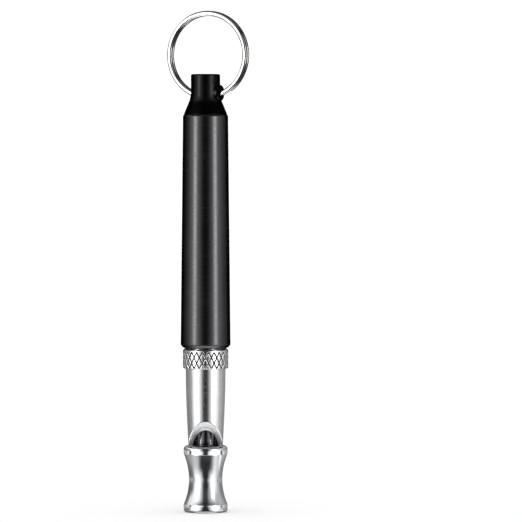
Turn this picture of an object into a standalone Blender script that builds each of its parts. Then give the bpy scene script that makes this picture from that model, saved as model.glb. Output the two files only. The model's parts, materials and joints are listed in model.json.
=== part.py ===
"""A pitch-adjustable dog-training whistle, standing on the flat end of its mouthpiece.

The whistle proper is a turned tube with an angled window.  A fipple plug leads the breath to the
window's lip, and a piston on a fine-threaded rod sets the length of the air column behind it.  A
black sleeve screws over the rod and carries the key ring.  Sizes are in millimetres and are turned
to metres as each mesh is made.  +Z is up the whistle, the window faces -Y, and the origin is the
centre of the mouthpiece's end face.
"""

import math

import bmesh
import bpy
from mathutils import Matrix, Vector

MM = 0.001

# ---------------------------------------------------------------- driving dimensions, in millimetres
LENGTH = 83.0                # mouth end to the top of the neck
FIT = 0.05                   # gap between pieces that touch

MOUTHPIECE_TOP = 12.6
RIM_R = 4.17                 # both rims of the waisted mouthpiece
RIM_BAND = 0.95              # height of each rim's plain band
WAIST_R, WAIST_Z = 3.17, 6.2
MOUTH_R = 2.2                # breath channel in the mouthpiece

BORE_R = 2.4                 # air column
TUBE_FOOT, TUBE_FOOT_R = 8.0, 2.75       # the tube's spigot inside the mouthpiece
TUBE_LOW_R, TUBE_HIGH_R = 3.27, 3.77
LIP_Z = 15.6                 # sharp edge of the lip, at the front of the bore
LIP_SLOPE = 1.55             # rise over run of the window's slanted cut
WINDOW_FLOOR = 12.5          # just below the mouthpiece's top face
PLUG_BASE, WINDWAY_Y = 6.0, -1.75        # foot of the fipple plug, and the flat along its front

COLLAR_BASE, COLLAR_TOP, COLLAR_R = 27.2, 31.0, 4.3
TAIL_R, TAIL_TOP = 3.5, 37.9             # threaded tail that the sleeve screws on

SLEEVE_BASE, SLEEVE_TOP = 31.25, 75.3
SLEEVE_LOW_R, SLEEVE_HIGH_R = 4.73, 4.28
SLEEVE_BORE_R = 3.6
SLEEVE_CHAMFER = 0.5         # height of the bevel at the sleeve's mouth
POCKET_R, POCKET_TOP = 4.22, 31.95       # room for the seal ring in the sleeve's mouth

NECK_R, NECK_FOOT_R, NECK_FOOT = 2.77, 3.08, 77.9
CONE_R = 4.08                # wide end of the cone under the neck
PLUG_DEPTH = 5.3             # how far the neck's spigot reaches into the sleeve
EYE_Z = 79.4                 # cross hole for the key ring
EYE_TURN = math.radians(-25) # the hole's right end is turned this far to the front
EYE_BUSH_R, EYE_R = 1.58, 1.32
EYE_BUSH_LEFT, EYE_BUSH_RIGHT = -2.35, 3.3   # ends of the bush along the hole

RING_R = 7.88                # middle of the key ring's wire
RING_WIRE_W, RING_WIRE_T = 1.0, 0.78
RING_SHIFT, RING_RISE = 0.53, 7.18       # the ring's centre, along the hole and above it

ROD_R, ROD_TOP = 1.45, 62.5
ROD_TIP_R = 1.0              # thin end that the piston is pressed on
KNOB_BASE, KNOB_R, KNOB_SEAT_R = 58.2, 2.6, 1.1
PISTON_FACE, PISTON_LENGTH, PISTON_R = 21.5, 4.0, 2.3
PISTON_POCKET = 2.6          # depth of the piston's hole for the rod's tip
BUSH_BASE, FLANGE_R, FLANGE_T = 33.6, 3.25, 0.7
WASHER_R, WASHER_T = 3.0, 0.4
NUT_FLATS, NUT_HEIGHT = 5.5, 2.4

BARREL_SEAL_R, BARREL_SEAL_Z, BARREL_SEAL_SECTION = 3.86, 31.38, 0.31
PISTON_SEAL_R, PISTON_SEAL_SECTION = 2.05, 0.3

PISTON_BACK = PISTON_FACE + PISTON_LENGTH
PISTON_GROOVE = PISTON_FACE + PISTON_LENGTH / 2
FLANGE_TOP = TAIL_TOP + FIT + FLANGE_T
WASHER_BASE = FLANGE_TOP + FIT
NUT_BASE = WASHER_BASE + WASHER_T + FIT

EDGE = 0.3                   # bevel on the small turned pieces
OUTER_STEPS = 40             # facets round the outer pieces
INNER_STEPS = 28             # facets round the small inner ones
CORNER_STEPS = 3             # straight pieces in a rounded edge


# ---------------------------------------------------------------- helpers
def clear_scene():
    for old in list(bpy.data.objects):
        bpy.data.objects.remove(old, do_unlink=True)


def material(name, colour, roughness, metallic):
    """A Principled material with a plain linear colour."""
    made = bpy.data.materials.new(name)
    made.use_nodes = True
    shader = made.node_tree.nodes["Principled BSDF"]
    shader.inputs["Base Color"].default_value = (*colour, 1.0)
    shader.inputs["Roughness"].default_value = roughness
    shader.inputs["Metallic"].default_value = metallic
    return made


def arc(centre, radius, start, end, steps):
    """Points (r, z) on an arc, with its angles in degrees counted from +r towards +z."""
    points = []
    for i in range(steps + 1):
        angle = math.radians(start + (end - start) * i / steps)
        points.append((centre[0] + radius * math.cos(angle), centre[1] + radius * math.sin(angle)))
    return points


def link(name, mesh, finish):
    """Puts a finished bmesh into the scene as one named, smooth-shaded object."""
    bmesh.ops.recalc_face_normals(mesh, faces=mesh.faces)
    data = bpy.data.meshes.new(name)
    mesh.to_mesh(data)
    mesh.free()
    data.shade_smooth()
    data.set_sharp_from_angle(angle=math.radians(35))
    data.materials.append(finish)
    made = bpy.data.objects.new(name, data)
    bpy.context.scene.collection.objects.link(made)
    return made


def turned(name, outline, finish, steps=OUTER_STEPS):
    """A piece from the lathe: the closed outline of (r, z) points, spun about Z."""
    mesh = bmesh.new()
    corners = [mesh.verts.new((r * MM, 0.0, z * MM)) for r, z in outline]
    edges = [mesh.edges.new(pair) for pair in zip(corners, corners[1:] + corners[:1])]
    bmesh.ops.spin(
        mesh, geom=corners + edges, cent=(0, 0, 0), axis=(0, 0, 1),
        angle=math.tau, steps=steps, use_merge=True,
    )
    bmesh.ops.remove_doubles(mesh, verts=mesh.verts, dist=1e-7)
    flat = [f for f in mesh.faces if f.calc_area() < 1e-14]
    bmesh.ops.delete(mesh, geom=flat, context="FACES")
    loose = [e for e in mesh.edges if not e.link_faces]
    bmesh.ops.delete(mesh, geom=loose, context="EDGES")
    return link(name, mesh, finish)


def bar(radius, middle_z, length, sides, turn=Matrix.Identity(4)):
    """A round or many-sided bar, centred at height middle_z on the whistle's axis and turned there."""
    mesh = bmesh.new()
    bmesh.ops.create_cone(
        mesh, cap_ends=True, segments=sides, radius1=radius * MM, radius2=radius * MM,
        depth=length * MM, matrix=Matrix.Translation((0, 0, middle_z * MM)) @ turn,
    )
    return mesh


def prism(outline, half_width):
    """A solid with its outline of (y, z) points, reaching half_width each way in X."""
    mesh = bmesh.new()
    face = mesh.faces.new([mesh.verts.new((-half_width * MM, y * MM, z * MM)) for y, z in outline])
    grown = bmesh.ops.extrude_face_region(mesh, geom=[face])["geom"]
    moved = [g for g in grown if isinstance(g, bmesh.types.BMVert)]
    bmesh.ops.translate(mesh, verts=moved, vec=(2 * half_width * MM, 0, 0))
    return mesh


def cut(target, cutter):
    """Takes the cutter away from the target and leaves the cutter as a hidden guide."""
    cutter.hide_render = True
    cutter.display_type = "WIRE"
    step = target.modifiers.new("cut_" + cutter.name, "BOOLEAN")
    step.operation = "DIFFERENCE"
    step.object = cutter


def make_o_ring(name, middle_r, middle_z, section_r, finish, steps):
    sides = 12
    full = 360 * (sides - 1) / sides
    section = arc((middle_r, middle_z), section_r, 0, full, sides - 1)
    return turned(name, section, finish, steps)


# ---------------------------------------------------------------- the whistle proper
def make_mouthpiece(finish):
    """Waisted mouthpiece: two banded rims joined by two arcs that meet at the waist."""
    step = 0.05                                # the bands stand this proud of the waist's ends
    low_edge = 1.5
    high_edge = 11.0
    corner, corner_start = 0.6, -65
    foot_r = RIM_R - corner - 0.1
    mouth_lead_r, mouth_lead = 0.4, 0.5        # flare at the mouth
    top_r = 3.62
    shelf = 5.8                                # the breath channel opens to the bore here
    socket_r = TUBE_FOOT_R + FIT
    socket_floor = TUBE_FOOT - FIT

    def waist_arc(edge_z, steps):
        """Points from the waist to the band at edge_z, on an arc that is upright at the waist."""
        run, rise = abs(edge_z - WAIST_Z), RIM_R - step - WAIST_R
        radius = (run * run + rise * rise) / (2 * rise)
        swing = math.degrees(math.asin(run / radius))
        toward = 1 if edge_z > WAIST_Z else -1
        return arc((WAIST_R + radius, WAIST_Z), radius, 180, 180 - toward * swing, steps)

    outline = [(foot_r, 0)]
    outline += arc((RIM_R - corner, corner), corner, corner_start, 0, CORNER_STEPS)
    outline += [(RIM_R, low_edge)]
    outline += waist_arc(low_edge, 6)[::-1]
    outline += waist_arc(high_edge, 6)[1:]
    outline += [
        (RIM_R, high_edge), (RIM_R, high_edge + RIM_BAND), (top_r, MOUTHPIECE_TOP),
        (socket_r, MOUTHPIECE_TOP), (socket_r, socket_floor), (BORE_R, socket_floor),
        (BORE_R, shelf), (MOUTH_R, shelf), (MOUTH_R, mouth_lead), (MOUTH_R + mouth_lead_r, 0),
    ]
    return turned("mouthpiece", outline, finish)


def make_fipple_plug(finish):
    """Plug in the bore.  Its front flat leaves the slot that the breath passes through."""
    plug_r = BORE_R - FIT
    top = WINDOW_FLOOR - FIT
    outline = [
        (0, PLUG_BASE), (plug_r - EDGE, PLUG_BASE), (plug_r, PLUG_BASE + EDGE), (plug_r, top), (0, top),
    ]
    plug = turned("fipple_plug", outline, finish, INNER_STEPS)
    front, below, above = -2 * BORE_R, PLUG_BASE - 1, top + 1
    slot = prism([(WINDWAY_Y, below), (WINDWAY_Y, above), (front, above), (front, below)], 2 * BORE_R)
    cut(plug, link("windway_cutter", slot, finish))
    return plug


def tube_radius(z):
    """Outside of the tube: it swells from the mouthpiece to the collar and levels off."""
    share = (z - MOUTHPIECE_TOP) / (COLLAR_BASE - MOUTHPIECE_TOP)
    return TUBE_LOW_R + (TUBE_HIGH_R - TUBE_LOW_R) * math.sin(share * math.pi / 2)


def make_whistle_tube(finish):
    """Tapered tube with a spigot in the mouthpiece, an angled window and a threaded tail."""
    swell_steps = 5
    foot = MOUTHPIECE_TOP + FIT
    swell = [foot + (COLLAR_BASE - foot) * i / swell_steps for i in range(swell_steps + 1)]
    outline = [(BORE_R, TUBE_FOOT), (TUBE_FOOT_R, TUBE_FOOT), (TUBE_FOOT_R, foot)]
    outline += [(tube_radius(z), z) for z in swell]
    outline += [(TAIL_R, COLLAR_BASE), (TAIL_R, TAIL_TOP), (BORE_R, TAIL_TOP)]
    tube = turned("whistle_tube", outline, finish)

    front = -6.0                               # the wedge starts well clear of the tube
    floor_y = -BORE_R + (LIP_Z - WINDOW_FLOOR) / LIP_SLOPE
    crest_z = LIP_Z + (-BORE_R - front) * LIP_SLOPE
    wedge = prism([(front, WINDOW_FLOOR), (floor_y, WINDOW_FLOOR), (front, crest_z)], -front)
    cut(tube, link("window_cutter", wedge, finish))
    return tube


def make_knurled_collar(finish):
    """Grip ring pressed on the tail.  Its land is the crest of the knurl."""
    bevel = 0.25
    bore, base = TAIL_R + FIT, COLLAR_BASE + FIT
    outline = [
        (bore, base), (COLLAR_R - bevel, base), (COLLAR_R, base + bevel), (COLLAR_R, COLLAR_TOP - bevel),
        (COLLAR_R - bevel, COLLAR_TOP), (bore, COLLAR_TOP),
    ]
    return turned("knurled_collar", outline, finish)


def make_thread_bush(finish):
    """Flanged brass bush in the tail, threaded for the tuning rod."""
    hole_r, body_r = ROD_R + FIT, BORE_R - FIT
    flange_base = TAIL_TOP + FIT
    outline = [
        (hole_r, BUSH_BASE), (body_r, BUSH_BASE), (body_r, flange_base),
        (FLANGE_R, flange_base), (FLANGE_R, FLANGE_TOP), (hole_r, FLANGE_TOP),
    ]
    return turned("thread_bush", outline, finish, INNER_STEPS)


# ---------------------------------------------------------------- the sleeve and its ring
def sleeve_radius(z):
    """Outside of the sleeve: it narrows evenly from its mouth to the neck."""
    share = (z - SLEEVE_BASE) / (SLEEVE_TOP - SLEEVE_BASE)
    return SLEEVE_LOW_R + (SLEEVE_HIGH_R - SLEEVE_LOW_R) * share


def make_barrel_sleeve(finish):
    """Long black sleeve, open at the bottom, with a pocket for its seal ring at the mouth."""
    mouth_lip = 0.08
    top_bevel, top_drop = 0.12, 0.35
    bevel_top = SLEEVE_BASE + SLEEVE_CHAMFER
    shoulder = SLEEVE_TOP - top_drop
    outline = [
        (POCKET_R, SLEEVE_BASE), (POCKET_R + mouth_lip, SLEEVE_BASE), (sleeve_radius(bevel_top), bevel_top),
        (sleeve_radius(shoulder), shoulder), (sleeve_radius(SLEEVE_TOP) - top_bevel, SLEEVE_TOP),
        (SLEEVE_BORE_R, SLEEVE_TOP), (SLEEVE_BORE_R, POCKET_TOP), (POCKET_R, POCKET_TOP),
    ]
    return turned("barrel_sleeve", outline, finish)


def make_neck_plug(finish):
    """Cone and neck that close the sleeve's top, drilled across for the key ring."""
    spigot_r, foot, cone_base = SLEEVE_BORE_R - FIT, SLEEVE_TOP - PLUG_DEPTH, SLEEVE_TOP + FIT
    rim, flare, flare_rise, above_eye = 0.15, 0.12, 0.5, 0.9
    top_corner = 0.35
    outline = [
        (0, foot), (spigot_r - EDGE, foot), (spigot_r, foot + EDGE), (spigot_r, cone_base),
        (CONE_R, cone_base), (CONE_R, cone_base + rim), (NECK_FOOT_R, NECK_FOOT),
        (NECK_R + flare, NECK_FOOT + flare_rise), (NECK_R, EYE_Z + above_eye),
    ]
    outline += arc((NECK_R - top_corner, LENGTH - top_corner), top_corner, 0, 90, CORNER_STEPS)
    outline += [(0, LENGTH)]
    neck = turned("neck_plug", outline, finish)
    along_eye = Matrix.Rotation(EYE_TURN, 4, "Z") @ Matrix.Rotation(math.pi / 2, 4, "Y")
    hole = bar(EYE_BUSH_R + FIT, EYE_Z, 4 * NECK_R, INNER_STEPS, along_eye)
    cut(neck, link("eye_cutter", hole, finish))
    return neck


def make_eye_bush(finish):
    """Wear bush in the cross hole.  Its rounded right end stands out of the neck."""
    lead, corner = 0.12, 0.35
    left, right = EYE_BUSH_LEFT, EYE_BUSH_RIGHT
    outline = [
        (EYE_R, left + lead), (EYE_R + lead, left), (EYE_BUSH_R - lead, left), (EYE_BUSH_R, left + lead),
    ]
    outline += arc((EYE_BUSH_R - corner, right - corner), corner, 0, 60, CORNER_STEPS)
    outline += [(EYE_R + lead, right), (EYE_R, right - lead)]
    bush = turned("eye_bush", outline, finish, INNER_STEPS)
    bush.rotation_euler = (0, math.pi / 2, EYE_TURN)
    bush.location = (0, 0, EYE_Z * MM)
    return bush


def make_split_ring(finish):
    """Two flat turns of one wire, cut just short of two turns.

    The object's origin is its pivot in the eye.  The wire runs in the XZ plane about a centre above
    the pivot.  It starts in the back layer, right of the neck, and steps to the front layer as it
    passes through the eye for the first time.  It ends just inside the eye, so only one wire steps.
    """
    layer_gap = 0.06                     # between the two turns
    start, end = 305, 970                # degrees, counted from +X towards +Z
    step_start, step_end = 614, 656
    stations = 96
    nick = 0.2                           # flattened corner of the wire's section
    half_w, half_t = RING_WIRE_W / 2, RING_WIRE_T / 2
    layer = (RING_WIRE_T + layer_gap) / 2
    outer = [
        (half_w - nick, -half_t), (half_w, nick - half_t), (half_w, half_t - nick), (half_w - nick, half_t),
    ]
    section = outer + [(-u, -v) for u, v in outer]
    middle = Vector((RING_SHIFT, 0, RING_RISE))
    across = Vector((0, 1, 0))
    mesh = bmesh.new()
    loops = []
    for i in range(stations + 1):
        turn = start + (end - start) * i / stations
        share = min(1, max(0, (turn - step_start) / (step_end - step_start)))
        side = layer * (1 - 2 * share * share * (3 - 2 * share))
        outward = Vector((math.cos(math.radians(turn)), 0, math.sin(math.radians(turn))))
        points = [middle + outward * (RING_R + u) + across * (side + v) for u, v in section]
        loops.append([mesh.verts.new(point * MM) for point in points])
    for near, far in zip(loops, loops[1:]):
        for k in range(len(section)):
            n = (k + 1) % len(section)
            mesh.faces.new((near[k], near[n], far[n], far[k]))
    mesh.faces.new(loops[0])
    mesh.faces.new(loops[-1][::-1])
    ring = link("split_ring", mesh, finish)
    ring.location = (0, 0, EYE_Z * MM)
    ring.rotation_euler = (0, 0, EYE_TURN)
    return ring


# ---------------------------------------------------------------- the tuning gear inside
def make_piston(finish):
    """Plunger at the rod's tip, grooved for its seal."""
    edge, groove_r, groove_half = 0.2, 1.72, 0.36
    pocket_r, pocket_floor = ROD_TIP_R + FIT, PISTON_BACK - PISTON_POCKET
    outline = [
        (0, PISTON_FACE), (PISTON_R - edge, PISTON_FACE), (PISTON_R, PISTON_FACE + edge),
        (PISTON_R, PISTON_GROOVE - groove_half), (groove_r, PISTON_GROOVE - groove_half),
        (groove_r, PISTON_GROOVE + groove_half), (PISTON_R, PISTON_GROOVE + groove_half),
        (PISTON_R, PISTON_BACK - edge), (PISTON_R - edge, PISTON_BACK), (pocket_r, PISTON_BACK),
        (pocket_r, pocket_floor), (0, pocket_floor),
    ]
    return turned("piston", outline, finish, INNER_STEPS)


def make_tuning_rod(finish):
    """Fine-threaded rod, drawn at the thread's crest, with a thin tip in the piston."""
    tip = PISTON_BACK - PISTON_POCKET + 2 * FIT
    lead = 0.15
    outline = [
        (0, tip), (ROD_TIP_R - lead, tip), (ROD_TIP_R, tip + lead), (ROD_TIP_R, PISTON_BACK + FIT),
        (ROD_R, PISTON_BACK + FIT), (ROD_R, KNOB_BASE - FIT), (KNOB_SEAT_R, KNOB_BASE - FIT),
        (KNOB_SEAT_R, ROD_TOP), (0, ROD_TOP),
    ]
    rod = turned("tuning_rod", outline, finish, INNER_STEPS)
    slot_half, slot_floor, above = 0.25, ROD_TOP - 0.9, ROD_TOP + 1
    corners = [(-slot_half, slot_floor), (slot_half, slot_floor), (slot_half, above), (-slot_half, above)]
    cut(rod, link("driver_slot_cutter", prism(corners, 2 * ROD_R), finish))
    return rod


def make_thumb_knob(finish):
    """Small knob pressed on the rod's far end."""
    bore = KNOB_SEAT_R + FIT
    top = ROD_TOP - 0.1
    outline = [
        (bore, KNOB_BASE), (KNOB_R - EDGE, KNOB_BASE), (KNOB_R, KNOB_BASE + EDGE),
        (KNOB_R, top - EDGE), (KNOB_R - EDGE, top), (bore, top),
    ]
    return turned("thumb_knob", outline, finish, INNER_STEPS)


def make_lock_washer(finish):
    """Plain washer between the bush's flange and the lock nut."""
    bore, top = ROD_R + 0.08, WASHER_BASE + WASHER_T
    outline = [(bore, WASHER_BASE), (WASHER_R, WASHER_BASE), (WASHER_R, top), (bore, top)]
    return turned("lock_washer", outline, finish, INNER_STEPS)


def make_lock_nut(finish):
    """Hexagon nut that jams the rod against the bush."""
    corner_r = NUT_FLATS / 2 / math.cos(math.pi / 6)
    middle = NUT_BASE + NUT_HEIGHT / 2
    nut = link("lock_nut", bar(corner_r, middle, NUT_HEIGHT, 6), finish)
    hole = bar(ROD_R + FIT, middle, 4 * NUT_HEIGHT, INNER_STEPS)
    cut(nut, link("nut_cutter", hole, finish))
    return nut


def main():
    clear_scene()
    chrome = material("polished_chrome", (0.80, 0.80, 0.81), 0.10, 1.0)
    satin = material("satin_aluminium", (0.74, 0.74, 0.75), 0.24, 1.0)
    black = material("black_anodised", (0.008, 0.008, 0.009), 0.28, 0.6)
    steel = material("spring_steel", (0.70, 0.70, 0.71), 0.12, 1.0)
    brass = material("machined_brass", (0.72, 0.52, 0.22), 0.25, 1.0)
    rubber = material("seal_rubber", (0.012, 0.012, 0.012), 0.65, 0.0)
    plastic = material("black_plastic", (0.015, 0.015, 0.016), 0.45, 0.0)

    make_mouthpiece(chrome)
    make_fipple_plug(plastic)
    make_whistle_tube(satin)
    make_knurled_collar(satin)
    make_thread_bush(brass)

    make_o_ring("barrel_seal", BARREL_SEAL_R, BARREL_SEAL_Z, BARREL_SEAL_SECTION, rubber, OUTER_STEPS)
    make_barrel_sleeve(black)
    make_neck_plug(black)
    make_eye_bush(black)
    make_split_ring(steel)

    make_piston(brass)
    make_o_ring("piston_seal", PISTON_SEAL_R, PISTON_GROOVE, PISTON_SEAL_SECTION, rubber, INNER_STEPS)
    make_tuning_rod(brass)
    make_thumb_knob(brass)
    make_lock_washer(steel)
    make_lock_nut(brass)


main()
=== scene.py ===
# %% [markdown]
# # A training whistle, made to be looked at
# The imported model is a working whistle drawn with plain, functional solids.  It is loaded here as
# a fixed frame, and every piece gets a finer surface that stands in exactly the same place.  Two
# other ways were possible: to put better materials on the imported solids, which would leave flat
# facets and no threads, or to sculpt over them, which would lose their sizes.  Surfaces worked
# out by formula keep every size and can be as fine as the light needs.

import json
import math

import bpy
import numpy as np
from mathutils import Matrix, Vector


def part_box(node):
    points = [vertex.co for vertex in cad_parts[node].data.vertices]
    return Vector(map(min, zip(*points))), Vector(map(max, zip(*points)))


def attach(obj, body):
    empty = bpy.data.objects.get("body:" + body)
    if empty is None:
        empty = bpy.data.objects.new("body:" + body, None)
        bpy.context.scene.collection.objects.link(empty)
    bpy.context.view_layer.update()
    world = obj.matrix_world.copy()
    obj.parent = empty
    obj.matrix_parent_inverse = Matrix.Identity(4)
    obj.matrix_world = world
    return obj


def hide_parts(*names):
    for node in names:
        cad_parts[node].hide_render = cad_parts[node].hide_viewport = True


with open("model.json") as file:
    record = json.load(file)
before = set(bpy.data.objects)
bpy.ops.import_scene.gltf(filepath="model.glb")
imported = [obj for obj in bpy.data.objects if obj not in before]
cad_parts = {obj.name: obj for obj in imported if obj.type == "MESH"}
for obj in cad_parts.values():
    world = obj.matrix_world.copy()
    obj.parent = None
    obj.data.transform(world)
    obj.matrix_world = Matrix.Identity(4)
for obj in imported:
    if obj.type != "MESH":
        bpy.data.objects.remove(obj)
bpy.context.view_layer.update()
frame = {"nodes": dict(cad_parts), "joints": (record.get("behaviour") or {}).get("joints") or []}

# %% [markdown]
# ## Reading the sizes
# Shapes below are written in millimetres, because that is how a lathe operator thinks of them.
# Their outer sizes are read from the frame, so that nothing is fitted by eye: a turned piece's
# radius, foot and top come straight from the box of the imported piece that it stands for.

# %% Sizes from the frame
MM = 0.001


def reach(node):
    """A packed turned piece's outer radius, foot and top, in millimetres."""
    low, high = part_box(node)
    return high.x / MM, low.z / MM, high.z / MM


for node in ("mouthpiece", "whistle_tube", "knurled_collar", "barrel_sleeve", "neck_plug"):
    radius, foot, top = reach(node)
    print(f"{node}: radius {radius:.2f} mm, from {foot:.2f} to {top:.2f} mm")

FIT = 0.05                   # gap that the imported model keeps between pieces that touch
swing = next(joint for joint in frame["joints"] if joint["name"] == "ring_swing")
EYE_Z = swing["pos_m"][2] / MM
EYE_ALONG = np.array(swing["axis"]) / np.linalg.norm(swing["axis"])
EYE_BACK = np.cross([0.0, 0.0, 1.0], EYE_ALONG)
print("the key ring's eye is at", round(float(EYE_Z), 2), "mm and runs along", EYE_ALONG.round(3))

# %% [markdown]
# ## Surfaces from grids
# Blender's own cylinders and screws would each need their own clean-up.  Here every surface is
# one numpy grid instead: rows run along the piece and columns run round it.  One function turns
# any such grid into a closed mesh, with its faces outwards and a UV map that measures real
# millimetres along the rows, so a finish can follow the surface.

# %% From a grid to faces
LOOP, CAPPED = True, False   # a grid's rows close on themselves, or both ends are shut by fans


def grid_faces(points, closed, first):
    """Corner numbers and UV places of a grid's faces.

    Columns always close round.  Rows either close on themselves, or each end is shut by a fan of
    triangles to the middle of its last row.  U is the distance along the rows, V once round.
    """
    rows, columns = points.shape[:2]
    index = first + np.arange(rows * columns).reshape(rows, columns)
    index = np.hstack([index, index[:, :1]])
    looped = np.concatenate([points[:, 0], points[:1, 0]])
    gone = np.linalg.norm(np.diff(looped, axis=0), axis=1)
    u = np.concatenate([[0.0], np.cumsum(gone)])
    if closed:
        index = np.vstack([index, index[:1]])
    else:
        u = u[:-1]
    uv = np.stack(np.meshgrid(u, np.linspace(0, 1, columns + 1), indexing="ij"), axis=-1)

    def quads(grid):
        return np.stack([grid[:-1, :-1], grid[:-1, 1:], grid[1:, 1:], grid[1:, :-1]], axis=2)

    faces = quads(index).reshape(-1, 4)
    places = quads(uv).reshape(-1, 4, 2)
    if closed:
        return faces, places, np.empty((0, 3), int), np.empty((0, 3, 2))
    fan, fan_uv = [], []
    for end, row, near, far in ((0, 0, slice(1, None), slice(0, -1)),
                                (1, -1, slice(0, -1), slice(1, None))):
        centre = np.full(columns, first + rows * columns + end)
        fan.append(np.stack([index[row, near], index[row, far], centre], axis=1))
        centre_uv = (uv[row, near] + uv[row, far]) / 2
        fan_uv.append(np.stack([uv[row, near], uv[row, far], centre_uv], axis=1))
    return faces, places, np.concatenate(fan), np.concatenate(fan_uv)


print("a grid of 3 by 4 points has", len(grid_faces(np.zeros((3, 4, 3)), CAPPED, 0)[0]), "quads")


# %% From faces to a closed mesh
def enclosed(points, faces, fan):
    """Six times the volume inside a closed surface: the sum of a . (b x c) over triangles."""
    corners = [faces[:, [0, 1, 2]], faces[:, [0, 2, 3]], fan]
    triangles = points[np.concatenate(corners)]
    return np.einsum("ij,ij->", triangles[:, 0], np.cross(triangles[:, 1], triangles[:, 2]))


def make_mesh(name, *grids):
    """One mesh from (grid, closed) pairs, each turned so that its faces point outwards."""
    points, faces, places = np.empty((0, 3)), [], []
    for grid, closed in grids:
        quads, quad_uv, fan, fan_uv = grid_faces(grid, closed, len(points))
        added = grid.reshape(-1, 3)
        if not closed:
            added = np.vstack([added, grid[0].mean(axis=0), grid[-1].mean(axis=0)])
        points = np.vstack([points, added])
        way = -1 if enclosed(points, quads, fan) < 0 else 1
        faces += quads[:, ::way].tolist() + fan[:, ::way].tolist()
        places += [quad_uv[:, ::way].reshape(-1, 2), fan_uv[:, ::way].reshape(-1, 2)]
    mesh = bpy.data.meshes.new(name)
    mesh.from_pydata(points * MM, [], faces)
    mesh.uv_layers.new(name="surface").data.foreach_set("uv", np.concatenate(places).ravel())
    return mesh


def smooth(mesh, sharp=32):
    """Shades the mesh smooth, except over edges that turn by more than that many degrees."""
    mesh.shade_smooth()
    mesh.set_sharp_from_angle(angle=math.radians(sharp))


print("meshes are worked out in millimetres and made in metres, times", MM)


# %% From a mesh to a finished piece
PIECES = {}


def finish_piece(name, body, slot, *grids, sharp=32, **numbers):
    """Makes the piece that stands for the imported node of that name, from (grid, closed) pairs.

    Each keyword after sharp names an attribute and gives a number to every point of the grids,
    in their order, for a finish to read.  Points left over get 0.
    """
    mesh = make_mesh(name + "_fine", *grids)
    for attribute, given in numbers.items():
        values = np.zeros(len(mesh.vertices), np.float32)
        values[:np.size(given)] = np.ravel(given)
        mesh.attributes.new(attribute, "FLOAT", "POINT").data.foreach_set("value", values)
    smooth(mesh, sharp)
    piece = bpy.data.objects.new(name + "_fine", mesh)
    bpy.context.scene.collection.objects.link(piece)
    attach(piece, body)
    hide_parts(name)
    PIECES[name] = piece
    print(f"{name}: {sum(len(face.vertices) - 2 for face in mesh.polygons)} triangles")
    return piece


def drilled(piece, cutter):
    """Takes the cutter out of the piece, and leaves a plain mesh with no modifier on it."""
    tool = bpy.data.objects.new("cutter", cutter)
    bpy.context.scene.collection.objects.link(tool)
    step = piece.modifiers.new("drilled", "BOOLEAN")
    step.operation = "DIFFERENCE"
    step.solver = "EXACT"
    step.object = tool
    bpy.context.view_layer.update()
    seen = piece.evaluated_get(bpy.context.evaluated_depsgraph_get())
    mesh = bpy.data.meshes.new_from_object(seen)
    piece.modifiers.clear()
    piece.data = mesh
    bpy.data.objects.remove(tool)
    smooth(mesh)


print("nodes to be replaced:", len(frame["nodes"]))

# %% [markdown]
# ## The lathe
# Nearly every piece of this whistle is turned, so one outline of radius and height makes it.  A
# real tool never leaves a corner perfectly sharp, and that tiny round is what catches the light
# and makes an edge look like metal.  Each corner of an outline therefore gives way to a short
# parabola, with a support point on each side that keeps the flats truly flat.  Blender's Bevel
# modifier does the same to a mesh, but on an outline it costs nothing and can't go wrong.

# %% Outlines
def eased(outline, round_by, closed=True, steps=4):
    """The outline with its corners rounded.

    Each corner P becomes (1-s)^2 A + 2s(1-s) P + s^2 B, where A and B lie round_by before and
    after it, but never past 0.4 of a side.
    """
    points = np.array(outline, float)
    before = np.roll(points, 1, axis=0) - points
    after = np.roll(points, -1, axis=0) - points
    room = np.minimum(np.linalg.norm(before, axis=1), np.linalg.norm(after, axis=1))
    out_by = np.minimum(np.broadcast_to(round_by, len(points)), 0.4 * room)[:, None]
    before = before / np.linalg.norm(before, axis=1)[:, None] * out_by
    after = after / np.linalg.norm(after, axis=1)[:, None] * out_by
    s = np.linspace(0, 1, steps + 1)[None, :, None]
    corner, start, end = points[:, None], (points + before)[:, None], (points + after)[:, None]
    bend = (1 - s) ** 2 * start + 2 * s * (1 - s) * corner + s ** 2 * end
    support = 1.2                # the support points lie this much further out than the bend
    corners = np.concatenate(
        [(points + support * before)[:, None], bend, (points + support * after)[:, None]], axis=1
    )
    if not closed:
        return np.concatenate([points[:1], corners[1:-1].reshape(-1, 2), points[-1:]])
    return corners.reshape(-1, 2)


def arc(centre, radius, start, end, steps):
    """Points (r, z) on an arc, with its angles in degrees from +r towards +z."""
    angle = np.radians(np.linspace(start, end, steps + 1))
    return np.asarray(centre) + radius * np.stack([np.cos(angle), np.sin(angle)], axis=1)


print("a square corner becomes", len(eased([(0, 0), (1, 0), (1, 1), (0, 1)], 0.1)) // 4, "points")


# %% Outlines carried round the axis
def around(columns):
    """The angles of that many columns, evenly spaced round the axis."""
    return np.arange(columns) * math.tau / columns


def round_axis(r, z, angle):
    """Points at x = r cos a, y = r sin a, z.  Each of the three may change by row and column."""
    r, z, angle = np.broadcast_arrays(r, z, angle)
    return np.stack([r * np.cos(angle), r * np.sin(angle), z], axis=-1)


def spun(outline, columns):
    """The outline carried round Z in that many columns."""
    r, z = np.asarray(outline).T[:, :, None]
    return round_axis(r, z, around(columns))


def smoothstep(share):
    """0 below 0, 1 above 1, and 3s^2 - 2s^3 between them."""
    share = np.clip(share, 0, 1)
    return share * share * (3 - 2 * share)


print("an outline of 2 points in 8 columns makes", spun([(1, 0), (1, 1)], 8).shape[:2], "points")

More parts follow.
